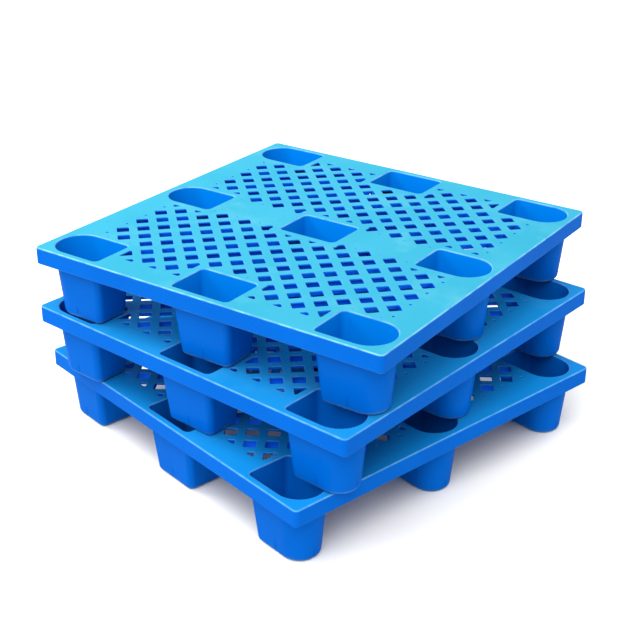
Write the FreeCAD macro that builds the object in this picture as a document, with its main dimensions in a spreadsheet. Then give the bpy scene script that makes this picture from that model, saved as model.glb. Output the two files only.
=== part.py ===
import FreeCAD, Part
import math
import os
import Sketcher

# A stack of three identical nine-leg plastic pallets, each turned a little on the one below.
# Each pallet is one injection moulding: a thin deck with a lattice of square holes, a skirt round
# its edge, crossed ribs under it, and nine hollow tapered legs that open upwards as cups, so that
# empty pallets nest when they are lined up. The moulding is drawn as twelve regions that meet face
# to face. The origin is on the floor under the middle of the bottom pallet, X runs along its rows
# of legs to the right, Y to the back and Z up.

# name, value in millimetres or degrees, meaning
DIMENSIONS = (
    ("deck_side", 1000, "length and width of the square deck"),
    ("pallet_height", 178, "floor to deck top, and the rise from one pallet to the next"),
    ("deck_thickness", 4.5, "wall of the deck and its lattice"),
    ("deck_corner", 12, "plan radius of the deck's corners"),
    ("top_bevel", 2.5, "bevel of the deck's outer edge and of the cup mouths"),
    ("rim_depth", 43, "deck top to the lower edge of the skirt"),
    ("rim_wall", 3.5, "wall of the skirt"),
    ("row_pitch", 422, "distance between rows of legs"),
    ("cup_half_width", 60, "half the width of every cup, across the row"),
    ("centre_cup_half_length", 82, "half the length of a cup in the centre column"),
    ("side_cup_inner", 313, "deck centre to the flat end of a side cup"),
    ("side_cup_outer", 481, "deck centre to the round end of a side cup"),
    ("cup_corner", 13, "plan radius of the cups' inside corners"),
    ("leg_wall", 4, "wall of the legs and thickness of their feet"),
    ("leg_draft", 5, "slope of the legs' sides"),
    ("foot_round", 13, "rounding of the legs' lower edge"),
    ("hole_pitch", 51.44, "distance between neighbouring lattice bars, square to them"),
    ("bar_width", 21.4, "width of a lattice bar"),
    ("field_half_length", 422, "deck centre to the ends of the lattice fields"),
    ("field_inner", 53, "deck centre to the near side of a lattice field"),
    ("field_outer", 431, "deck centre to the far side of a lattice field"),
    ("cup_margin_x", 19, "solid deck left beside a cup"),
    ("cup_margin_y", 16, "solid deck left beside the cups of the outer rows"),
    ("middle_margin_y", 19, "solid deck left in front of and behind the cups of the middle row"),
    ("rib_depth", 40, "deck top to the lower edge of the ribs"),
    ("rib_wall", 3, "wall of the ribs"),
    ("middle_turn", 8.4, "turn of the middle pallet against the bottom one"),
    ("top_turn", 14.2, "turn of the top pallet against the bottom one"),
    ("top_shift_x", -19, "sideways shift of the top pallet"),
    ("top_shift_y", 21, "backward shift of the top pallet"),
)
BARS_EACH_SIDE = 11
RIBS_EACH_SIDE = 6
FOOT_STEPS = 4
ROWS = {"front": -1, "middle": 0, "back": 1}
COLUMNS = {"left": -1, "centre": 0, "right": 1}
ORIGIN_POINT = (-1, 1)

doc = FreeCAD.newDocument("pallet_stack")
sizes = doc.addObject("Spreadsheet::Sheet", "sizes")
for line, (name, size, meaning) in enumerate(DIMENSIONS, start=1):
    sizes.set(f"A{line}", name)
    sizes.set(f"B{line}", str(size))
    sizes.set(f"C{line}", meaning)
    sizes.setAlias(f"B{line}", name)
doc.recompute()


def value(expression):
    """The number that an expression of the sheet's cells has now."""
    return float(sizes.evalExpression(expression))


def bind(thing, **expressions):
    """Tie properties of a document object to expressions; a double underscore stands for a dot."""
    for name, expression in expressions.items():
        thing.setExpression(name.replace("__", "."), expression)


# ---- outlines ----

def outline_pieces(left, right, front, back, radius, round_side):
    """Lines and arcs of a closed outline, anticlockwise, as (role, geometry)."""
    half = (back - front) / 2
    middle = (back + front) / 2
    quarter = math.pi / 2
    left_radius = half if round_side < 0 else radius
    right_radius = half if round_side > 0 else radius

    def arc(role, x, y, size, start, end):
        circle = Part.Circle(FreeCAD.Vector(x, y, 0), FreeCAD.Vector(0, 0, 1), size)
        return role, Part.ArcOfCircle(circle, start * quarter, end * quarter)

    def line(role, x1, y1, x2, y2):
        return role, Part.LineSegment(FreeCAD.Vector(x1, y1, 0), FreeCAD.Vector(x2, y2, 0))

    pieces = [line("front", left + left_radius, front, right - right_radius, front)]
    if round_side > 0:
        pieces.append(arc("end", right - half, middle, half, -1, 1))
    else:
        pieces.append(arc("corner", right - radius, front + radius, radius, -1, 0))
        pieces.append(line("right", right, front + radius, right, back - radius))
        pieces.append(arc("corner", right - radius, back - radius, radius, 0, 1))
    pieces.append(line("back", right - right_radius, back, left + left_radius, back))
    if round_side < 0:
        pieces.append(arc("end", left + half, middle, half, 1, 3))
    else:
        pieces.append(arc("corner", left + radius, back - radius, radius, 1, 2))
        pieces.append(line("left", left, back - radius, left, front + radius))
        pieces.append(arc("corner", left + radius, front + radius, radius, 2, 3))
    return pieces


def add_outline(sketch, left, right, front, back, corner, round_side=0):
    """Closed outline between four sides, all expressions. The side at the right (round_side 1)
    or at the left (round_side -1) may be a half circle; the other corners are rounded."""
    sides = {"left": left, "right": right, "front": front, "back": back}
    numbers = [value(sides[name]) for name in ("left", "right", "front", "back")]
    pieces = outline_pieces(*numbers, value(corner), round_side)
    first = sketch.GeometryCount
    sketch.addGeometry([geometry for role, geometry in pieces], False)
    places = {}
    for index, (role, geometry) in enumerate(pieces, start=first):
        places.setdefault(role, []).append(index)
    last = first + len(pieces) - 1
    joints = []
    for index in range(first, last + 1):
        following = first if index == last else index + 1
        joints.append(Sketcher.Constraint("Tangent", index, 2, following, 1))
    for role in ("front", "back"):
        joints.append(Sketcher.Constraint("Horizontal", places[role][0]))
    for role in ("left", "right"):
        if role in places:
            joints.append(Sketcher.Constraint("Vertical", places[role][0]))
    corners = places["corner"]
    for other in corners[1:]:
        joints.append(Sketcher.Constraint("Equal", corners[0], other))
    sketch.addConstraint(joints)

    def dimension(kind, where, expression):
        number = sketch.addConstraint(Sketcher.Constraint(kind, *where, value(expression)))
        sketch.setExpression(f"Constraints[{number}]", expression)

    dimension("Radius", (corners[0],), corner)
    for role, axis in (("front", "Y"), ("back", "Y"), ("left", "X"), ("right", "X")):
        if role in places:
            dimension(f"Distance{axis}", (*ORIGIN_POINT, places[role][0], 1), sides[role])
    if round_side:
        outer = sides["right"] if round_side > 0 else sides["left"]
        centre = f"{outer} - ({round_side}) * ({back} - ({front})) / 2"
        dimension("DistanceX", (*ORIGIN_POINT, places["end"][0], 3), centre)


def cup_outline(sketch, column, row, wall, corner):
    """Outline of one cup, widened all round by a wall; column and row are -1, 0 or 1."""
    wall = f"({wall})"
    half_width = f"(sizes.cup_half_width + {wall})"
    place = f"({row}) * sizes.row_pitch"
    near = f"sizes.side_cup_inner - {wall}"
    far = f"sizes.side_cup_outer + {wall}"
    if column == 0:
        left = f"-sizes.centre_cup_half_length - {wall}"
        right = f"sizes.centre_cup_half_length + {wall}"
    elif column > 0:
        left, right = near, far
    else:
        left, right = f"-({far})", f"-({near})"
    front = f"{place} - {half_width}"
    back = f"{place} + {half_width}"
    add_outline(sketch, left, right, front, back, corner, column)


def square_outline(sketch, inset="0"):
    """The deck's own outline, or one that lies an even distance inside it."""
    half = f"sizes.deck_side / 2 - {inset}"
    add_outline(sketch, f"-({half})", half, f"-({half})", half, f"sizes.deck_corner - {inset}")


# ---- features ----

def new_body(label):
    body = doc.addObject("PartDesign::Body", label)
    body.Label = label
    return body


def new_sketch(body, name, level):
    """Sketch parallel to the body's XY plane, at a level given as an expression."""
    plane = next(item for item in body.Origin.OriginFeatures if item.Role == "XY_Plane")
    sketch = body.newObject("Sketcher::SketchObject", f"{body.Name}_{name}")
    sketch.AttachmentSupport = (plane, "")
    sketch.MapMode = "FlatFace"
    bind(sketch, AttachmentOffset__Base__z=level)
    return sketch


def pad(body, sketch, length, downwards=False):
    feature = body.newObject("PartDesign::Pad", f"{sketch.Name}_pad")
    feature.Profile = sketch
    feature.Reversed = downwards
    bind(feature, Length=length)
    doc.recompute()
    return feature


def bevel_edges(body, base, size, chosen):
    """Chamfer on the edges of a feature that a test picks."""
    names = [f"Edge{n}" for n, edge in enumerate(base.Shape.Edges, start=1) if chosen(edge)]
    feature = body.newObject("PartDesign::Chamfer", f"{body.Name}_bevel")
    feature.Base = (base, names)
    bind(feature, Size=size)
    body.Tip = feature
    doc.recompute()
    return feature


def lies_at(level):
    """Test for edges that lie flat at one level."""
    def test(edge):
        box = edge.BoundBox
        return abs(box.ZMin - level) < 0.01 and abs(box.ZMax - level) < 0.01
    return test


def block(label, span_x, span_y, span_z):
    """Upright box between pairs of expressions."""
    box = doc.addObject("Part::Box", label)
    lengths = [f"{high} - ({low})" for low, high in (span_x, span_y, span_z)]
    bind(box, Length=lengths[0], Width=lengths[1], Height=lengths[2])
    bind(box, Placement__Base__x=span_x[0], Placement__Base__y=span_y[0])
    bind(box, Placement__Base__z=span_z[0])
    return box


def parallel_bars(label, count, pitch, width, low, high, turn):
    """Parallel bars across the deck, turned in plan; each number is an expression."""
    bars = []
    for n in range(-count, count + 1):
        middle = f"({n}) * {pitch}"
        across = (f"{middle} - {width} / 2", f"{middle} + {width} / 2")
        along = ("-0.7 * sizes.deck_side", "0.7 * sizes.deck_side")
        bars.append(block(f"{label}_{n + count + 1}", along, across, (low, high)))
    group = doc.addObject("Part::Compound", label)
    group.Links = bars
    group.Placement.Rotation = FreeCAD.Rotation(FreeCAD.Vector(0, 0, 1), turn)
    return group


def boolean(kind, label, base, tool):
    feature = doc.addObject(f"Part::{kind}", label)
    feature.Base = base
    feature.Tool = tool
    feature.Label = label
    return feature


# ---- regions of one pallet ----

def lattice_fields():
    """The two areas of the deck that carry the lattice, kept clear of the cups."""
    beside_centre = "(sizes.centre_cup_half_length + sizes.cup_margin_x)"
    beside_side = "(sizes.side_cup_inner - sizes.cup_margin_x)"
    past_middle = "(sizes.cup_half_width + sizes.middle_margin_y)"
    before_back = "(sizes.row_pitch - sizes.cup_half_width - sizes.cup_margin_y)"
    field_end = "sizes.field_half_length"
    near = "sizes.field_inner"
    far = "sizes.field_outer"
    span_z = ("sizes.pallet_height - 2 * sizes.deck_thickness",
              "sizes.pallet_height + sizes.deck_thickness")
    blocks = []
    for name, row in (("front", -1), ("back", 1)):
        spans = (
            ("across", f"-{field_end}", field_end, past_middle, before_back),
            ("left", f"-{beside_side}", f"-{beside_centre}", near, far),
            ("right", beside_centre, beside_side, near, far),
        )
        for place, low_x, high_x, low_y, high_y in spans:
            if row < 0:
                low_y, high_y = f"-{high_y}", f"-{low_y}"
            label = f"field_{name}_{place}"
            blocks.append(block(label, (low_x, high_x), (low_y, high_y), span_z))
    fields = doc.addObject("Part::MultiFuse", "lattice_fields")
    fields.Shapes = blocks
    return fields


def make_deck(label):
    """Deck plate with nine cup mouths and the square holes that the lattice bars leave."""
    plate = new_body("deck_plate")
    sketch = new_sketch(plate, "outline", "sizes.pallet_height - sizes.deck_thickness")
    square_outline(sketch)
    for row in ROWS.values():
        for column in COLUMNS.values():
            cup_outline(sketch, column, row, "0", "sizes.cup_corner")
    plate_pad = pad(plate, sketch, "sizes.deck_thickness")
    bevel_edges(plate, plate_pad, "sizes.top_bevel", lies_at(value("sizes.pallet_height")))
    low = "sizes.pallet_height - 3 * sizes.deck_thickness"
    high = "sizes.pallet_height + 2 * sizes.deck_thickness"
    shape = (BARS_EACH_SIDE, "sizes.hole_pitch", "sizes.bar_width", low, high)
    rising = parallel_bars("rising_bars", *shape, 45)
    falling = parallel_bars("falling_bars", *shape, -45)
    strips = boolean("Cut", "lattice_strips", lattice_fields(), rising)
    holes = boolean("Cut", "lattice_holes", strips, falling)
    return boolean("Cut", label, plate, holes)


def make_rim(label):
    """Skirt round the edge of the deck."""
    body = new_body(label)
    sketch = new_sketch(body, "outline", "sizes.pallet_height - sizes.rim_depth")
    square_outline(sketch)
    square_outline(sketch, "sizes.rim_wall")
    pad(body, sketch, "sizes.rim_depth - sizes.deck_thickness")
    return body


def leg_space(column, row):
    """Block round a leg at the ribs' level; for an outer leg it runs out to the skirt."""
    edge = "sizes.deck_side / 2"
    half_width = "(sizes.cup_half_width + sizes.leg_wall)"
    near = "sizes.side_cup_inner - sizes.leg_wall"
    half_length = "(sizes.centre_cup_half_length + sizes.leg_wall)"
    spans_x = {-1: (f"-{edge}", f"-({near})"), 0: (f"-{half_length}", half_length), 1: (near, edge)}
    row_line = "sizes.row_pitch"
    spans_y = {-1: (f"-{edge}", f"-{row_line} + {half_width}"), 0: (f"-{half_width}", half_width),
               1: (f"{row_line} - {half_width}", edge)}
    span_z = ("sizes.pallet_height - 1.5 * sizes.rib_depth", "sizes.pallet_height")
    return block(f"leg_space_{column + 1}_{row + 1}", spans_x[column], spans_y[row], span_z)


def make_ribs(label):
    """Crossed diagonal ribs under every second lattice bar, between the skirt and the legs."""
    slab = new_body("rib_slab")
    sketch = new_sketch(slab, "outline", "sizes.pallet_height - sizes.rib_depth")
    square_outline(sketch, "sizes.rim_wall")
    pad(slab, sketch, "sizes.rib_depth - sizes.deck_thickness")
    legs = doc.addObject("Part::Compound", "leg_spaces")
    legs.Links = [leg_space(column, row) for row in ROWS.values() for column in COLUMNS.values()]
    space = boolean("Cut", "rib_space", slab, legs)
    low = "sizes.pallet_height - 1.5 * sizes.rib_depth"
    shape = (RIBS_EACH_SIDE, "2 * sizes.hole_pitch", "sizes.rib_wall", low, "sizes.pallet_height")
    rising = boolean("Common", "rising_ribs", space, parallel_bars("rising_rib_bars", *shape, 45))
    falling = boolean("Common", "falling_ribs", space, parallel_bars("falling_rib_bars", *shape, -45))
    return boolean("Fuse", label, rising, falling)


def tapered_block(label, column, row, wall, bottom):
    """Solid block that fills a cup widened by a wall, from the deck down to a bottom whose edge is
    rounded in steps."""
    under_deck = "(sizes.pallet_height - sizes.deck_thickness)"
    corner = f"(sizes.cup_corner + {wall})"
    radius = f"(sizes.foot_round - {bottom})"
    slope = "sizes.leg_draft"
    round_top = f"({bottom} + {radius} * (1 - sin({slope})))"
    round_middle = f"({wall} - ({under_deck} - {round_top}) * tan({slope}) - {radius} * cos({slope}))"
    body = new_body(label)
    mouth = new_sketch(body, "mouth", under_deck)
    cup_outline(mouth, column, row, wall, corner)
    sections = []
    for step in range(FOOT_STEPS + 1):
        angle = f"({slope} + (90 - {slope}) * {step} / {FOOT_STEPS})"
        level = f"{bottom} + {radius} * (1 - sin({angle}))"
        growth = f"{round_middle} + {radius} * cos({angle})"
        step_corner = f"{corner} - {radius} * (cos({slope}) - cos({angle}))"
        section = new_sketch(body, f"foot_{step}", level)
        cup_outline(section, column, row, growth, step_corner)
        sections.append(section)
    loft = body.newObject("PartDesign::AdditiveLoft", f"{label}_loft")
    loft.Profile = mouth
    loft.Sections = sections
    loft.Ruled = True
    doc.recompute()
    return body


def make_leg(label, column, row):
    """Hollow tapered leg, open at the top, with a closed rounded foot on the floor."""
    outside = tapered_block(f"{label}_outside", column, row, "sizes.leg_wall", "0")
    inside = tapered_block(f"{label}_inside", column, row, "0", "sizes.leg_wall")
    return boolean("Cut", label, outside, inside)


def leg_name(row, column):
    return "leg_centre" if row == "middle" and column == "centre" else f"leg_{row}_{column}"


def make_pallet(name):
    """All the regions of one pallet, in the order deck, rim, ribs, legs."""
    regions = [make_deck(f"{name}_deck"), make_rim(f"{name}_rim"), make_ribs(f"{name}_ribs")]
    for row, row_sign in ROWS.items():
        for column, column_sign in COLUMNS.items():
            regions.append(make_leg(f"{name}_{leg_name(row, column)}", column_sign, row_sign))
    return regions


def repeat_pallet(regions, old_name, new_name, level, turn, shift_x, shift_y):
    """The same moulding again, standing higher up, turned and shifted in plan."""
    copies = []
    for region in regions:
        label = region.Label.replace(old_name, new_name)
        copy = doc.addObject("App::Link", label)
        copy.Label = label
        copy.LinkedObject = region
        copy.LinkTransform = True
        bind(copy, Placement__Base__x=shift_x, Placement__Base__y=shift_y)
        bind(copy, Placement__Base__z=f"{level} * sizes.pallet_height")
        bind(copy, Placement__Rotation__Angle=f"{turn} * 1 deg")
        copies.append(copy)
    return copies


# ---- the stack ----

bottom = make_pallet("bottom_pallet")
names = ("bottom_pallet", "middle_pallet", "top_pallet")
middle = repeat_pallet(bottom, names[0], names[1], 1, "sizes.middle_turn", "0", "0")
top = repeat_pallet(bottom, names[0], names[2], 2, "sizes.top_turn",
                    "sizes.top_shift_x", "sizes.top_shift_y")
doc.recompute()

for item in doc.Objects:
    if "Invalid" in item.State or "Error" in item.State:
        raise RuntimeError(f"{item.Name} failed: {item.State}")
nodes = bottom + middle + top
for node in nodes:
    if node.Shape.isNull() or not node.Shape.isValid():
        raise RuntimeError(f"{node.Label} has no valid shape")

os.makedirs("parts", exist_ok=True)
for node in nodes:
    node.Shape.exportStep(f"parts/{node.Label}.step")
    box = node.Shape.BoundBox
    print(f"{node.Label:32s} solids {len(node.Shape.Solids):3d} volume {node.Shape.Volume / 1000:9.1f} cm3"
          f" z {box.ZMin:7.2f} to {box.ZMax:7.2f}")
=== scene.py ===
import math

import bpy
from mathutils import Euler, Matrix, Vector, geometry


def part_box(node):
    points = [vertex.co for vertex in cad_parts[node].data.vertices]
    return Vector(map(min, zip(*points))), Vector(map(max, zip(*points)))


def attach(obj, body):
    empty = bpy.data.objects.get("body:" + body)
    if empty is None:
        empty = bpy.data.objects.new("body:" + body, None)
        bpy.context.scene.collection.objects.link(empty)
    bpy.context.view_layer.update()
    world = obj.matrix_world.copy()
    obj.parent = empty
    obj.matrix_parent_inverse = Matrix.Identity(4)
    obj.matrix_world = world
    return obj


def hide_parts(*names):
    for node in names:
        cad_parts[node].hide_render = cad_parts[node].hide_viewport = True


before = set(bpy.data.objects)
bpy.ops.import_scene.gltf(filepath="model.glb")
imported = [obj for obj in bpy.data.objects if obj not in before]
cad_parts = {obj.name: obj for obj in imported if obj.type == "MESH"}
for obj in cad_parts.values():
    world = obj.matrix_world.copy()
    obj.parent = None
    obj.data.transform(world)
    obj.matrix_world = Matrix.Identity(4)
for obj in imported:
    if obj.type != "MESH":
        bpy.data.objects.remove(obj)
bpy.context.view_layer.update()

# A stack of three blue plastic pallets. Each pallet is one moulding; its deck, skirt and legs get
# finished meshes here, and its ribs keep their CAD shape. All lengths are metres. One pallet is
# worked out in its own frame (middle of its footprint on the floor, rows of legs along X) and the
# other two are the same shapes turned, shifted and lifted.

# ---- sizes of one pallet, as in the CAD model ----

DECK_LOW, DECK_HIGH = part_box("bottom_pallet_deck")
HEIGHT = DECK_HIGH.z
HALF_SIDE = DECK_HIGH.x
UNDER_DECK = DECK_LOW.z
RIM_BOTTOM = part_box("bottom_pallet_rim")[0].z
RIM_WALL = 0.0035
DECK_CORNER = 0.012
ROW_PITCH = 0.422
CUP_HALF_WIDTH = 0.060
CENTRE_HALF_LENGTH = 0.082
SIDE_INNER = 0.313
SIDE_OUTER = 0.481
CUP_CORNER = 0.013
LEG_WALL = 0.004
LEG_DRAFT = math.radians(5)
FOOT_ROUND = 0.013

# finer shapes than the CAD model has: the roundings of the deck's edge and mouths (top), of the
# lattice holes' edges and corners and of the skirt's lip, and the short grooves above the feet
TOP_ROUND = 0.004
HOLE_ROUND = 0.0022
HOLE_CORNER = 0.0035
LIP_FLAT = 0.0004
GROOVE_HALF_WIDTH = 0.0038
GROOVE_DEPTH = 0.0034
GROOVE_TOP = 0.042

# loops under the deck that are wider than this are cups or the deck's outline, not holes
LONGEST_HOLE = 0.06

# straight pieces in a rounding of each kind
CORNER_STEPS = 8
END_STEPS = 12
TOP_STEPS = 6
LIP_STEPS = 4
FOOT_STEPS = 8
HOLE_STEPS = 3
HOLE_CORNER_STEPS = 4

# how strong the pale painted highlight is along each kind of rounded edge
DECK_EDGE_HIGHLIGHT = 1.0
CUP_MOUTH_HIGHLIGHT = 0.8
LIP_HIGHLIGHT = 0.7
FOOT_HIGHLIGHT = 0.5
HOLE_HIGHLIGHT = 0.5

# body (its nodes' names begin with it), turn, pallets below it, how much painted light it carries:
# the top pallet is painted as lit, the lower ones as shaded
PALLETS = (
    ("bottom_pallet", 0.0, 0, 0.10),
    ("middle_pallet", math.radians(8.4), 1, 0.20),
    ("top_pallet", math.radians(14.2), 2, 1.0),
)
ROWS = {"front": -1, "middle": 0, "back": 1}
COLUMNS = {"left": -1, "centre": 0, "right": 1}

UP = Vector((0, 0, 1))
DOWN = Vector((0, 0, -1))


# ---- meshes with exact shading normals ----

class Shell:
    """A mesh under construction. Each face corner keeps its own shading normal."""

    def __init__(self):
        self.points = []
        self.edge_highlight = []
        self.hollow = []
        self.faces = []
        self.normals = []

    def ring(self, places, edge_highlight=0.0, hollow=0.0):
        """Adds a closed row of points. The number after the places is the strength of a pale
        painted highlight along rounded edges, and hollow is 1 on the insides of cups and holes."""
        first = len(self.points)
        self.points.extend(Vector(place) for place in places)
        self.edge_highlight.extend([edge_highlight] * len(places))
        self.hollow.extend([hollow] * len(places))
        return list(range(first, len(self.points)))

    def band(self, upper, lower, upper_normals, lower_normals):
        """Quads between two rings; seen from outside, the rings run anticlockwise from above."""
        count = len(upper)
        for i in range(count):
            j = (i + 1) % count
            self.faces.append((upper[i], lower[i], lower[j], upper[j]))
            self.normals.extend((upper_normals[i], lower_normals[i], lower_normals[j],
                                 upper_normals[j]))

    def wall(self, rings, flip=False):
        """Bands between neighbours in a list of (ring, normals). The list runs down a wall that
        is seen from outside, or up one seen from inside; flip is for the other two cases."""
        for (first, first_normals), (second, second_normals) in zip(rings, rings[1:]):
            if flip:
                self.band(second, first, second_normals, first_normals)
            else:
                self.band(first, second, first_normals, second_normals)

    def flat(self, rings, normal):
        """Flat face of triangles between an outer ring and any rings inside it. The
        triangulation works in millimetres, and it covers the holes too, so those are skipped."""
        index = [i for ring in rings for i in ring]
        ring_of = [number for number, ring in enumerate(rings) for _ in ring]
        loops = [[self.points[i].xy for i in ring] for ring in rings]
        places = [self.points[i].xy * 1000 for i in index]
        edges = []
        first = 0
        for ring in rings:
            edges += [(first + i, first + (i + 1) % len(ring)) for i in range(len(ring))]
            first += len(ring)
        triangles, origins = geometry.delaunay_2d_cdt(places, edges, [], 1, 1e-6, True)[2:4]
        for triangle in triangles:
            sources = [origins[i][0] for i in triangle]
            corners = [index[i] for i in sources]
            a, b, c = (self.points[i] for i in corners)
            homes = {ring_of[i] for i in sources}
            if homes != {0} and len(homes) == 1 and inside(loops[homes.pop()], (a + b + c) / 3):
                continue
            if (b - a).cross(c - a).dot(normal) < 0:
                corners.reverse()
            self.faces.append(tuple(corners))
            self.normals.extend([normal] * 3)

    def build(self, name, place, painted_light, material):
        """Makes the object, moved to its pallet's place; the number after the place is how much
        painted light its pallet carries, which pales the upper faces, lightens the cups and holes
        and strengthens the edge highlights."""
        mesh = bpy.data.meshes.new(name)
        mesh.from_pydata([place @ point for point in self.points], [], self.faces)
        turn = place.to_3x3()
        mesh.shade_smooth()
        mesh.normals_split_custom_set([(turn @ normal).normalized() for normal in self.normals])
        painted_light_values = [painted_light] * len(self.points)
        for label, numbers in (("edge_highlight", self.edge_highlight), ("hollow", self.hollow), ("painted_light", painted_light_values)):
            marks = mesh.attributes.new(label, "FLOAT", "POINT")
            marks.data.foreach_set("value", numbers)
        mesh.materials.append(material)
        piece = bpy.data.objects.new(name, mesh)
        bpy.context.scene.collection.objects.link(piece)
        return piece


def inside(loop, place):
    """Whether a place lies within a closed loop, seen from above."""
    crossings = 0
    for a, b in zip(loop, loop[1:] + loop[:1]):
        if (a.y > place.y) != (b.y > place.y):
            if place.x < a.x + (b.x - a.x) * (place.y - a.y) / (b.y - a.y):
                crossings += 1
    return crossings % 2 == 1


def tilt(outline, steep):
    """Normals of a wall: horizontal ones turned up by an angle."""
    flat = math.cos(steep)
    rise = math.sin(steep)
    return [Vector((n.x * flat, n.y * flat, rise)) for _, n, _ in outline]


def facing(normals, sign):
    """The normals as they are (sign 1), or with their level part the other way round (sign -1)."""
    return [Vector((n.x * sign, n.y * sign, n.z)) for n in normals]


def at_level(outline, level, grow=0.0):
    """Points of an outline at a level, moved outwards by grow."""
    return [Vector((p.x + n.x * grow, p.y + n.y * grow, level)) for p, n, _ in outline]


# ---- outlines: lists of (point, outward normal, distance from the middle of that side) ----

FAR = 1.0
QUARTER_TURN = math.pi / 2
GROOVE_STATIONS = tuple(GROOVE_HALF_WIDTH * k / 4 for k in (-6, -4, -3, -2, -1, 0, 1, 2, 3, 4, 6))


def direction(angle):
    """Level unit vector at an angle from +X."""
    return Vector((math.cos(angle), math.sin(angle)))


def arc(centre, radius, start, end, steps):
    """Points of an arc, with both ends."""
    points = []
    for k in range(steps + 1):
        normal = direction(start + (end - start) * k / steps)
        points.append((centre + normal * radius, normal, FAR))
    return points


def corner_arc(centre, radius, quarter):
    """Rounded corner of a right angle; quarter 0 turns from +X to +Y, and so on anticlockwise."""
    start = quarter * QUARTER_TURN
    return arc(centre, radius, start, (quarter + 1) * QUARTER_TURN, CORNER_STEPS)


def straight(normal, middle):
    """Points in the middle of a straight side, where a groove can run down a leg. The arcs at the
    side's ends are joined to them by straight edges."""
    along = Vector((-normal.y, normal.x))
    return [(middle + along * station, normal, station) for station in GROOVE_STATIONS]


def cup_outline(column, grow, corner):
    """Outline of a cup, anticlockwise, widened by grow. Its row lies at y = 0."""
    half_width = CUP_HALF_WIDTH + grow
    if column == 0:
        left, right = -CENTRE_HALF_LENGTH - grow, CENTRE_HALF_LENGTH + grow
    else:
        left, right = SIDE_INNER - grow, SIDE_OUTER + grow
    middle_x = (left + right) / 2
    round_centre = right - half_width
    outline = straight(Vector((0, -1)), Vector((middle_x, -half_width)))
    if column:
        outline += round_end(Vector((round_centre, 0)), half_width)
    else:
        outline += corner_arc(Vector((right - corner, corner - half_width)), corner, -1)
        outline += straight(Vector((1, 0)), Vector((right, 0)))
        outline += corner_arc(Vector((right - corner, half_width - corner)), corner, 0)
    outline += straight(Vector((0, 1)), Vector((middle_x, half_width)))
    outline += corner_arc(Vector((left + corner, half_width - corner)), corner, 1)
    outline += straight(Vector((-1, 0)), Vector((left, 0)))
    outline += corner_arc(Vector((left + corner, corner - half_width)), corner, 2)
    if column < 0:
        outline = [(-p, -n, s) for p, n, s in outline]
    return outline


def round_end(centre, radius):
    """Half circle on the right, with close points where the groove runs down its middle."""
    away = [QUARTER_TURN - k * QUARTER_TURN / END_STEPS for k in range(END_STEPS - 1)]
    angles = [-angle for angle in away]
    angles += [station / radius for station in GROOVE_STATIONS]
    angles += reversed(away)
    points = []
    for angle in angles:
        near_middle = abs(angle * radius) <= GROOVE_STATIONS[-1] + 1e-6
        station = angle * radius if near_middle else FAR
        points.append((centre + direction(angle) * radius, direction(angle), station))
    return points


def square_outline(inset):
    """The deck's outline, moved inwards by inset."""
    half = HALF_SIDE - inset
    corner = DECK_CORNER - inset
    outline = []
    for k, (x, y) in enumerate(((1, -1), (1, 1), (-1, 1), (-1, -1))):
        outline += corner_arc(Vector((x, y)) * (half - corner), corner, k - 1)
    return outline


def moved(outline, y):
    """The outline moved along Y."""
    return [(Vector((p.x, p.y + y)), n, s) for p, n, s in outline]


def rounded_polygon(corners, radius, steps):
    """Outline of an anticlockwise polygon with rounded corners. A rounding takes less than half
    of either side next to it."""
    outline = []
    for i, corner in enumerate(corners):
        before = corner - corners[i - 1]
        after = corners[(i + 1) % len(corners)] - corner
        turn = math.atan2(before.x * after.y - before.y * after.x, before.dot(after))
        most = 0.42 * min(before.length, after.length)
        reach = min(radius * math.tan(abs(turn) / 2), most)
        size = reach / math.tan(abs(turn) / 2)
        side = 1 if turn > 0 else -1
        ahead = before.normalized()
        centre = corner - ahead * reach + Vector((-ahead.y, ahead.x)) * size * side
        start = math.atan2(-ahead.x, ahead.y)
        for k in range(steps + 1):
            normal = direction(start + turn * k / steps)
            outline.append((centre + normal * size * side, normal, FAR))
    return outline


def loops_under_deck():
    """Closed loops of points round the lower face of the CAD deck: its outline, the mouths of the
    cups and the lattice holes. Places are compared to a hundredth of a millimetre."""
    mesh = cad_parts["bottom_pallet_deck"].data

    def key(vertex):
        place = mesh.vertices[vertex].co
        return round(place.x, 5), round(place.y, 5)

    ahead = {}
    for face in mesh.polygons:
        if all(abs(mesh.vertices[v].co.z - UNDER_DECK) < 1e-5 for v in face.vertices):
            corners = [key(v) for v in face.vertices]
            for i, corner in enumerate(corners):
                ahead[(corners[i - 1], corner)] = True
    border = {a: b for a, b in ahead if (b, a) not in ahead}
    loops = []
    while border:
        start, place = border.popitem()
        loop = [start]
        while place != start:
            loop.append(place)
            place = border.pop(place)
        loops.append([Vector(point) for point in loop])
    return loops


def hole_polygons():
    """The lattice holes as anticlockwise polygons, in a fixed order."""
    holes = []
    for loop in loops_under_deck():
        width = max(p.x for p in loop) - min(p.x for p in loop)
        if width < LONGEST_HOLE:
            holes.append(tidy_polygon(loop))
    return sorted(holes, key=lambda hole: (round(hole[0].x, 4), round(hole[0].y, 4)))


def tidy_polygon(loop):
    """The polygon without points in line, anticlockwise."""
    corners = []
    for i, point in enumerate(loop):
        before = point - loop[i - 1]
        after = loop[(i + 1) % len(loop)] - point
        if abs(before.x * after.y - before.y * after.x) > 1e-4 * before.length * after.length:
            corners.append(point)
    area = sum(a.x * b.y - a.y * b.x for a, b in zip(corners, corners[1:] + corners[:1]))
    if area < 0:
        corners.reverse()
    return corners


# ---- regions of one pallet ----

def rounding(radius, steps):
    """(angle, offset back from the wall, rise) along a quarter round, from wall to top."""
    for k in range(steps + 1):
        angle = QUARTER_TURN * k / steps
        yield angle, radius * (1 - math.cos(angle)), radius * math.sin(angle)


def highlight_along_round(angle, most):
    """Strength of the painted highlight along a quarter round: most in its middle, none where it
    runs into the flats.
    """
    return most * math.sin(2 * angle) ** 2


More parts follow.
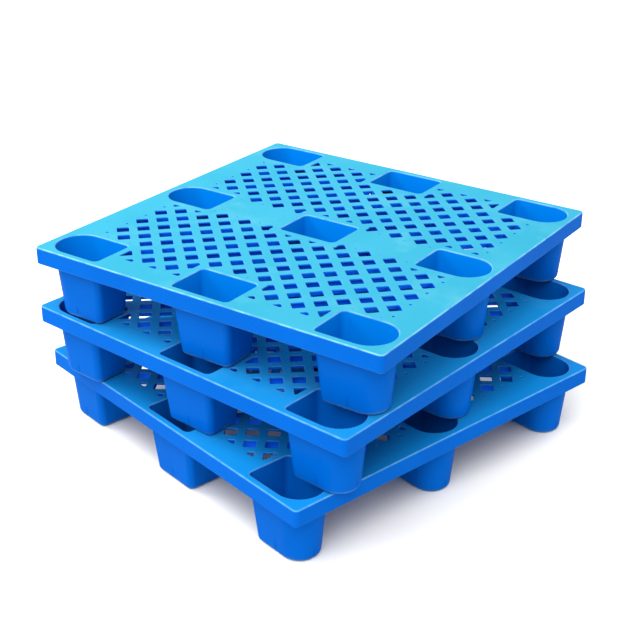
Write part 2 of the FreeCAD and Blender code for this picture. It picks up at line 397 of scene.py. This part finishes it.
def deck_edge(shell, outline, radius, steps, edge_highlight, inwards):
    """Wall and rounded top edge round a hole (inwards) or round the deck; returns its top and
    bottom rings."""
    sign = -1 if inwards else 1
    hollow = 1.0 if inwards else 0.0
    bottom = shell.ring(at_level(outline, UNDER_DECK), hollow=hollow)
    rings = [(bottom, facing(tilt(outline, 0), sign))]
    for angle, back, rise in rounding(radius, steps):
        place = at_level(outline, HEIGHT - radius + rise, -sign * back)
        ring = shell.ring(place, highlight_along_round(angle, edge_highlight), hollow * math.cos(angle))
        rings.append((ring, facing(tilt(outline, angle), sign)))
    shell.wall(rings, flip=not inwards)
    return rings[-1][0], bottom


def make_deck_shell(holes):
    """Deck with the mouths of the nine cups and the lattice holes, all with rounded edges."""
    shell = Shell()
    edges = [deck_edge(shell, square_outline(0), TOP_ROUND, TOP_STEPS, DECK_EDGE_HIGHLIGHT, False)]
    for row in ROWS.values():
        for column in COLUMNS.values():
            mouth = moved(cup_outline(column, 0, CUP_CORNER), row * ROW_PITCH)
            edges.append(deck_edge(shell, mouth, TOP_ROUND, TOP_STEPS, CUP_MOUTH_HIGHLIGHT, True))
    for hole in holes:
        outline = rounded_polygon(hole, HOLE_CORNER, HOLE_CORNER_STEPS)
        edges.append(deck_edge(shell, outline, HOLE_ROUND, HOLE_STEPS, HOLE_HIGHLIGHT, True))
    shell.flat([top for top, _ in edges], UP)
    shell.flat([bottom for _, bottom in edges], DOWN)
    return shell


def lip_rings(shell, outline, sign):
    """Rings of the rounding on one side of the skirt's lower edge, from the wall to the middle of
    the lip; sign is 1 on the outside and -1 on the inside."""
    radius = (RIM_WALL - LIP_FLAT) / 2
    rings = []
    for angle, back, rise in rounding(radius, LIP_STEPS):
        places = at_level(outline, RIM_BOTTOM + radius - rise, -sign * back)
        ring = shell.ring(places, highlight_along_round(angle, LIP_HIGHLIGHT))
        rings.append((ring, facing(tilt(outline, -angle), sign)))
    return rings


def make_rim_shell():
    """Skirt with a small rounding along both sides of its lower edge."""
    shell = Shell()
    outer, inner = square_outline(0), square_outline(RIM_WALL)
    outside_top = shell.ring(at_level(outer, UNDER_DECK))
    inside_top = shell.ring(at_level(inner, UNDER_DECK))
    rings = [(outside_top, tilt(outer, 0))]
    rings += lip_rings(shell, outer, 1)
    rings += reversed(lip_rings(shell, inner, -1))
    rings.append((inside_top, facing(tilt(inner, 0), -1)))
    shell.wall(rings)
    up = [UP] * len(outer)
    shell.band(inside_top, outside_top, up, up)
    return shell


def groove_depth(station, level):
    """How far the outside of a leg is pressed in near the middle of a side; the groove runs out
    over its uppermost 40 % and its lowest 25 %."""
    if abs(station) >= GROOVE_HALF_WIDTH or level > GROOVE_TOP:
        return 0.0
    across = 1 - abs(station) / GROOVE_HALF_WIDTH
    upwards = min(1.0, (GROOVE_TOP - level) / (0.4 * GROOVE_TOP))
    foot = min(1.0, level / (0.25 * GROOVE_TOP))
    return GROOVE_DEPTH * across * upwards * foot


def leg_ring(shell, column, row, grow, corner, level, steep, edge_highlight=0.0, inner=False):
    """One ring of a leg's outer or inner wall, with its normals. The outer one has grooves."""
    outline = moved(cup_outline(column, grow, corner), row * ROW_PITCH)
    places = at_level(outline, level)
    normals = tilt(outline, steep)
    if not inner:
        for i, (_, n, station) in enumerate(outline):
            depth = groove_depth(station, level)
            if depth:
                places[i] -= Vector((n.x, n.y, 0)) * depth
                lean = depth / GROOVE_HALF_WIDTH
                along = Vector((-n.y, n.x, 0))
                side = 0 if station == 0 else math.copysign(1, station)
                normals[i] = (normals[i] - along * side * lean).normalized()
    return shell.ring(places, edge_highlight, float(inner)), normals


def leg_profile(wall, floor):
    """(level, growth, corner radius, steepness, painted highlight) down one side of a leg's wall to
    its foot.
    """
    radius = FOOT_ROUND - floor
    corner = CUP_CORNER + wall
    tangent_level = floor + radius * (1 - math.sin(LEG_DRAFT))
    levels = [UNDER_DECK, 0.140, 0.100]
    levels += [GROOVE_TOP * k for k in (1.2, 1.0, 0.9, 0.8, 0.7, 0.6, 0.5, 0.4, 0.33)]
    profile = []
    for level in levels:
        grow = wall - (UNDER_DECK - level) * math.tan(LEG_DRAFT)
        profile.append((level, grow, corner, -LEG_DRAFT, 0.0))
    grow_end = wall - (UNDER_DECK - tangent_level) * math.tan(LEG_DRAFT)
    grow_centre = grow_end - radius * math.cos(LEG_DRAFT)
    for k in range(FOOT_STEPS + 1):
        steep = LEG_DRAFT + (QUARTER_TURN - LEG_DRAFT) * k / FOOT_STEPS
        back = radius * (math.cos(LEG_DRAFT) - math.cos(steep))
        level = floor + radius * (1 - math.sin(steep))
        edge_highlight = highlight_along_round(steep, FOOT_HIGHLIGHT) if 0 < k < FOOT_STEPS else 0.0
        profile.append((level, grow_centre + radius * math.cos(steep), corner - back, -steep, edge_highlight))
    return profile


def make_leg_shell(column, row):
    """Hollow leg, open at the top: outer wall, foot, inner wall and cup floor."""
    shell = Shell()
    outer_rings = []
    for level, grow, corner, steep, edge_highlight in leg_profile(LEG_WALL, 0.0):
        outer_rings.append(leg_ring(shell, column, row, grow, corner, level, steep, edge_highlight))
    shell.wall(outer_rings)
    shell.flat([outer_rings[-1][0]], DOWN)
    inner_rings = []
    for level, grow, corner, steep, _ in leg_profile(0.0, LEG_WALL):
        ring, normals = leg_ring(shell, column, row, grow, corner, level, steep, inner=True)
        inner_rings.append((ring, [-n for n in normals]))
    shell.wall(inner_rings, flip=True)
    shell.flat([inner_rings[-1][0]], UP)
    shell.flat([outer_rings[0][0], inner_rings[0][0]], UP)
    return shell


# ---- materials ----

# blues of the plastic, each a pair that the surface varies between, or a single colour
WALLS = ((0.000, 0.078, 0.375, 1), (0.000, 0.086, 0.405, 1))
# the ribs, painted a lighter blue than the walls as if lit inside the holes
RIBS_PAINTED_LIGHTER = ((0.000, 0.090, 0.680, 1), (0.000, 0.100, 0.720, 1))
# upper faces painted lighter than the walls, as if lit from above: first for the shaded lower
# pallets, then for the lit top pallet
PAINTED_TOPS_SHADED = ((0.001, 0.128, 0.385, 1), (0.002, 0.138, 0.405, 1))
PAINTED_TOPS_LIT = ((0.021, 0.214, 0.300, 1), (0.027, 0.227, 0.320, 1))
# cups and holes painted lighter on the lit pallet, as if light reached into them
PAINTED_LIGHT_IN_HOLLOWS = (0.000, 0.140, 0.500, 1)
SPECKLE = (0.002, 0.140, 0.460, 1)
# pale painted highlight along the middle of rounded edges, patchy, strongest on the lit top pallet
PAINTED_EDGE_HIGHLIGHT = (0.150, 0.370, 0.510, 1)
# pale painted sheen patches on the upper faces of the lit pallet
PAINTED_SHEEN_PATCHES = (0.060, 0.265, 0.330, 1)
SCUFFS = (0.070, 0.330, 0.480, 1)
FLOOR_TONES = ((0.61, 0.61, 0.61, 1), (0.64, 0.64, 0.64, 1))
RELIEF_STRENGTH = 0.10
SPECULAR_LEVEL = 0.002
COAT_WEIGHT = 0.04
COAT_ROUGHNESS = 0.20
EXTRA_SCUFF_ROUGHNESS = 0.15


def node(tree, kind, **settings):
    """A shader node; each setting is a property of the node or the value of a socket."""
    made = tree.nodes.new(kind)
    for name, setting in settings.items():
        if hasattr(made, name):
            setattr(made, name, setting)
        else:
            made.inputs[name.replace("_", " ")].default_value = setting
    return made


def noise(tree, place, scale, detail, roughness=0.55):
    """Noise around 0.5 over the surface; a larger scale makes it finer."""
    made = node(tree, "ShaderNodeTexNoise", Scale=scale, Detail=detail, Roughness=roughness)
    tree.links.new(place, made.inputs["Vector"])
    return made.outputs["Fac"]


def remap(tree, source, span, onto=(0.0, 1.0)):
    """The source with one span of numbers stretched onto another, and held at its ends."""
    made = tree.nodes.new("ShaderNodeMapRange")
    for index, number in enumerate(span + onto, start=1):
        made.inputs[index].default_value = number
    tree.links.new(source, made.inputs[0])
    return made.outputs[0]


def mix_colour(tree, factor, first, second):
    """The first colour where the factor is 0 and the second where it is 1."""
    made = node(tree, "ShaderNodeMix", data_type="RGBA")
    tree.links.new(factor, made.inputs["Factor"])
    for index, colour in ((6, first), (7, second)):
        if isinstance(colour, tuple):
            made.inputs[index].default_value = colour
        else:
            tree.links.new(colour, made.inputs[index])
    return made.outputs[2]


def multiply(tree, first, second):
    """The product of two sources."""
    made = node(tree, "ShaderNodeMath", operation="MULTIPLY")
    tree.links.new(first, made.inputs[0])
    tree.links.new(second, made.inputs[1])
    return made.outputs[0]


def bump(tree, height, distance, under=None):
    """Small relief from a height, over another relief if one is given."""
    made = node(tree, "ShaderNodeBump", Strength=RELIEF_STRENGTH, Distance=distance)
    tree.links.new(height, made.inputs["Height"])
    if under:
        tree.links.new(under, made.inputs["Normal"])
    return made.outputs["Normal"]


def facing_up(tree):
    """1 on surfaces that face up, 0 on walls."""
    parts = tree.nodes.new("ShaderNodeSeparateXYZ")
    tree.links.new(tree.nodes.new("ShaderNodeNewGeometry").outputs["Normal"], parts.inputs[0])
    return remap(tree, parts.outputs["Z"], (0.55, 0.97))


def point_mark(tree, name):
    """A number that each point of a shell carries: the painted edge highlight, the painted light of
    its pallet, or hollow.
    """
    return node(tree, "ShaderNodeAttribute", attribute_name=name).outputs["Fac"]


def scuff_marks(tree, place, upward):
    """Long shallow scratches in some areas of the upper faces, where goods slide."""
    stretched = node(tree, "ShaderNodeMapping", Scale=(7.0, 240.0, 240.0),
                     Rotation=(0.0, 0.0, 0.62))
    tree.links.new(place, stretched.inputs["Vector"])
    scratches = remap(tree, noise(tree, stretched.outputs[0], 1.0, 3.0, 0.7), (0.68, 0.76))
    areas = remap(tree, noise(tree, place, 6.0, 2.0), (0.47, 0.60), (0.0, 0.70))
    return multiply(tree, multiply(tree, scratches, areas), upward)


def deck_and_wall_colour(tree, place, walls, upward, hollow, painted_light_mark):
    """Blue walls, with painted light: lighter inside the cups and holes of the pallet painted as
    lit, and paler upper faces, palest on that pallet.
    """
    broad = remap(tree, noise(tree, place, 4.0, 3.0), (0.35, 0.65))
    wall_colour = mix_colour(tree, broad, *walls)
    shaded_tops = mix_colour(tree, broad, *PAINTED_TOPS_SHADED)
    lit_tops = mix_colour(tree, broad, *PAINTED_TOPS_LIT)
    # painted light inside the cups and holes of the pallet painted as lit
    wall_colour = mix_colour(tree, multiply(tree, hollow, painted_light_mark), wall_colour, PAINTED_LIGHT_IN_HOLLOWS)
    # painted light: upper faces lighter than the walls, palest where the pallet is painted as lit
    return mix_colour(tree, upward, wall_colour, mix_colour(tree, painted_light_mark, shaded_tops, lit_tops))


def marked_colour(tree, place, colour, upward, painted_light_mark, scuffs):
    """The colour with a fine speckle, a pale painted highlight along rounded edges, pale painted
    sheen patches on the lit pallet's upper faces, and scuffs.
    """
    speckle = remap(tree, noise(tree, place, 420.0, 2.0), (0.50, 0.80), (0.0, 0.30))
    colour = mix_colour(tree, speckle, colour, SPECKLE)
    patchy = remap(tree, noise(tree, place, 28.0, 4.0), (0.36, 0.60), (0.45, 1.0))
    stronger_on_lit_pallet = remap(tree, painted_light_mark, (0.0, 1.0), (0.5, 1.0))
    # painted highlight along rounded edges, broken up by patchy noise and stronger on the pallet
    # painted as lit
    edges = multiply(tree, multiply(tree, point_mark(tree, "edge_highlight"), patchy), stronger_on_lit_pallet)
    colour = mix_colour(tree, edges, colour, PAINTED_EDGE_HIGHLIGHT)
    # painted sheen in patches on the upper faces, only where the pallet is painted as lit
    sheen_patches = remap(tree, noise(tree, place, 5.5, 5.0, 0.65), (0.52, 0.70), (0.0, 0.55))
    sheen_patches = multiply(tree, multiply(tree, sheen_patches, upward), painted_light_mark)
    colour = mix_colour(tree, sheen_patches, colour, PAINTED_SHEEN_PATCHES)
    return mix_colour(tree, scuffs, colour, SCUFFS)


def plastic_roughness(tree, place, scuffs):
    """Smooth plastic, a little duller in places and more so where it is scuffed."""
    sheen = remap(tree, noise(tree, place, 9.0, 4.0), (0.3, 0.7), (0.31, 0.37))
    rougher = node(tree, "ShaderNodeMath", operation="MULTIPLY_ADD")
    rougher.inputs[1].default_value = EXTRA_SCUFF_ROUGHNESS
    tree.links.new(scuffs, rougher.inputs[0])
    tree.links.new(sheen, rougher.inputs[2])
    return rougher.outputs[0]


def plastic_relief(tree, place, scuffs):
    """The mould's fine grain, slight unevenness and the scuffs."""
    grain = bump(tree, noise(tree, place, 900.0, 2.0), 0.0003)
    uneven = bump(tree, noise(tree, place, 11.0, 2.0), 0.0010, grain)
    return bump(tree, scuffs, 0.0003, uneven)


def pallet_plastic(name, walls):
    """Blue moulded polyethylene; walls holds the two blues that its walls vary between."""
    material = bpy.data.materials.new(name)
    material.use_nodes = True
    tree = material.node_tree
    shader = tree.nodes["Principled BSDF"]
    place = tree.nodes.new("ShaderNodeTexCoord").outputs["Object"]
    painted_light_mark = point_mark(tree, "painted_light")
    hollow = point_mark(tree, "hollow")
    upward = multiply(tree, facing_up(tree), remap(tree, hollow, (0.0, 1.0), (1.0, 0.0)))
    scuffs = scuff_marks(tree, place, upward)
    colour = deck_and_wall_colour(tree, place, walls, upward, hollow, painted_light_mark)
    colour = marked_colour(tree, place, colour, upward, painted_light_mark, scuffs)
    tree.links.new(colour, shader.inputs["Base Color"])
    tree.links.new(plastic_roughness(tree, place, scuffs), shader.inputs["Roughness"])
    tree.links.new(plastic_relief(tree, place, scuffs), shader.inputs["Normal"])
    shader.inputs["Specular IOR Level"].default_value = SPECULAR_LEVEL
    shader.inputs["Coat Weight"].default_value = COAT_WEIGHT
    shader.inputs["Coat Roughness"].default_value = COAT_ROUGHNESS
    return material


def floor_material():
    """Pale matt floor that varies a little in tone."""
    material = bpy.data.materials.new("studio_floor")
    material.use_nodes = True
    tree = material.node_tree
    shader = tree.nodes["Principled BSDF"]
    place = tree.nodes.new("ShaderNodeTexCoord").outputs["Object"]
    tone = remap(tree, noise(tree, place, 1.5, 2.0), (0.3, 0.7))
    colour = mix_colour(tree, tone, *FLOOR_TONES)
    tree.links.new(colour, shader.inputs["Base Color"])
    shader.inputs["Roughness"].default_value = 0.9
    return material


# ---- the stack ----

def pallet_place(name, turn, level):
    """Where a pallet's own frame lies; its deck's box gives the middle."""
    low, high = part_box(f"{name}_deck")
    middle = (low + high) / 2
    lift = level * HEIGHT
    return Matrix.Translation((middle.x, middle.y, lift)) @ Matrix.Rotation(turn, 4, "Z")


def leg_name(row, column):
    """What the CAD calls a leg."""
    return "leg_centre" if row == "middle" and column == "centre" else f"leg_{row}_{column}"


def add_piece(shell, name, place, painted_light, body, node_name, material):
    """One visible piece that stands for a CAD node and moves with its body."""
    piece = shell.build(name, place, painted_light, material)
    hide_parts(node_name)
    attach(piece, body)


def make_stack(material, rib_material):
    """All three pallets. Their ribs are the CAD nodes themselves, with the ribs' material, a blue
    painted lighter than the walls as if lit inside the holes.
    """
    deck_shell = make_deck_shell(hole_polygons())
    rim_shell = make_rim_shell()
    leg_shells = {}
    for row, row_sign in ROWS.items():
        for column, column_sign in COLUMNS.items():
            leg_shells[leg_name(row, column)] = make_leg_shell(column_sign, row_sign)
    for body, turn, level, painted_light in PALLETS:
        place = pallet_place(body, turn, level)
        short = body.replace("_pallet", "")
        add_piece(deck_shell, f"{short}_deck", place, painted_light, body, f"{body}_deck", material)
        add_piece(rim_shell, f"{short}_rim", place, painted_light, body, f"{body}_rim", material)
        for leg, shell in leg_shells.items():
            add_piece(shell, f"{short}_{leg}", place, painted_light, body, f"{body}_{leg}", material)
        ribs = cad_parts[f"{body}_ribs"]
        for slot in ribs.material_slots:
            slot.link = "OBJECT"
            slot.material = rib_material


# ---- floor, light and camera ----

FLOOR_HALF_SIZE = 150.0
SURROUNDINGS = 1.15
LAMP_STRENGTH = 4.4
LAMP_WIDTH = math.radians(55)
LAMP_WAY = Vector((-0.28, 0.50, -1.0))
SOFTBOX_SIZE = 1.2
SOFTBOX_POWER = 80
SOFTBOX_PLACE = Vector((-2.1, -1.5, 2.6))
SOFTBOX_AIM = Vector((0, 0, 0.3))
CAMERA_PLACE = Vector((2.1916, -1.9276, 1.7165))
CAMERA_AZIMUTH = math.radians(48.55)
CAMERA_PITCH = math.radians(26.06)
CAMERA_ROLL = math.radians(0.3)
SENSOR_WIDTH = 36
FOCAL_LENGTH = 70.42


def make_floor():
    """Level floor under the stack, large enough to fill the picture."""
    mesh = bpy.data.meshes.new("floor")
    size = FLOOR_HALF_SIZE
    corners = [(-size, -size, 0), (size, -size, 0), (size, size, 0), (-size, size, 0)]
    mesh.from_pydata(corners, [], [(0, 1, 2, 3)])
    mesh.materials.append(floor_material())
    floor = bpy.data.objects.new("floor", mesh)
    bpy.context.scene.collection.objects.link(floor)


def add_light(name, light, towards, place=Vector()):
    """Puts a light at a place, shining one way."""
    lamp = bpy.data.objects.new(name, light)
    lamp.location = place
    lamp.rotation_euler = towards.to_track_quat("-Z", "Y").to_euler()
    bpy.context.scene.collection.objects.link(lamp)


def make_light():
    """Bright even surroundings, a very soft lamp high up at the front right, and a softbox on the
    left."""
    world = bpy.data.worlds.new("studio")
    world.use_nodes = True
    surroundings = world.node_tree.nodes["Background"]
    surroundings.inputs["Color"].default_value = (1, 1, 1, 1)
    surroundings.inputs["Strength"].default_value = SURROUNDINGS
    bpy.context.scene.world = world
    key = bpy.data.lights.new("key", "SUN")
    key.energy = LAMP_STRENGTH
    key.angle = LAMP_WIDTH
    add_light("key", key, LAMP_WAY)
    softbox = bpy.data.lights.new("softbox", "AREA")
    softbox.size = SOFTBOX_SIZE
    softbox.energy = SOFTBOX_POWER
    add_light("softbox", softbox, SOFTBOX_AIM - SOFTBOX_PLACE, SOFTBOX_PLACE)


def make_camera():
    """Looks down on the stack from the front right, from 3.4 m away."""
    camera_data = bpy.data.cameras.new("camera")
    camera_data.sensor_width = SENSOR_WIDTH
    camera_data.lens = FOCAL_LENGTH
    camera = bpy.data.objects.new("camera", camera_data)
    camera.location = CAMERA_PLACE
    look = Euler((math.pi / 2 - CAMERA_PITCH, 0, CAMERA_AZIMUTH)).to_matrix()
    camera.rotation_euler = (look @ Matrix.Rotation(CAMERA_ROLL, 3, "Z")).to_euler()
    bpy.context.scene.collection.objects.link(camera)
    bpy.context.scene.camera = camera


make_camera()
make_stack(pallet_plastic("blue_polyethylene", WALLS), pallet_plastic("blue_ribs_painted_lighter", RIBS_PAINTED_LIGHTER))
make_floor()
make_light()
bpy.context.scene.view_settings.view_transform = "Standard"
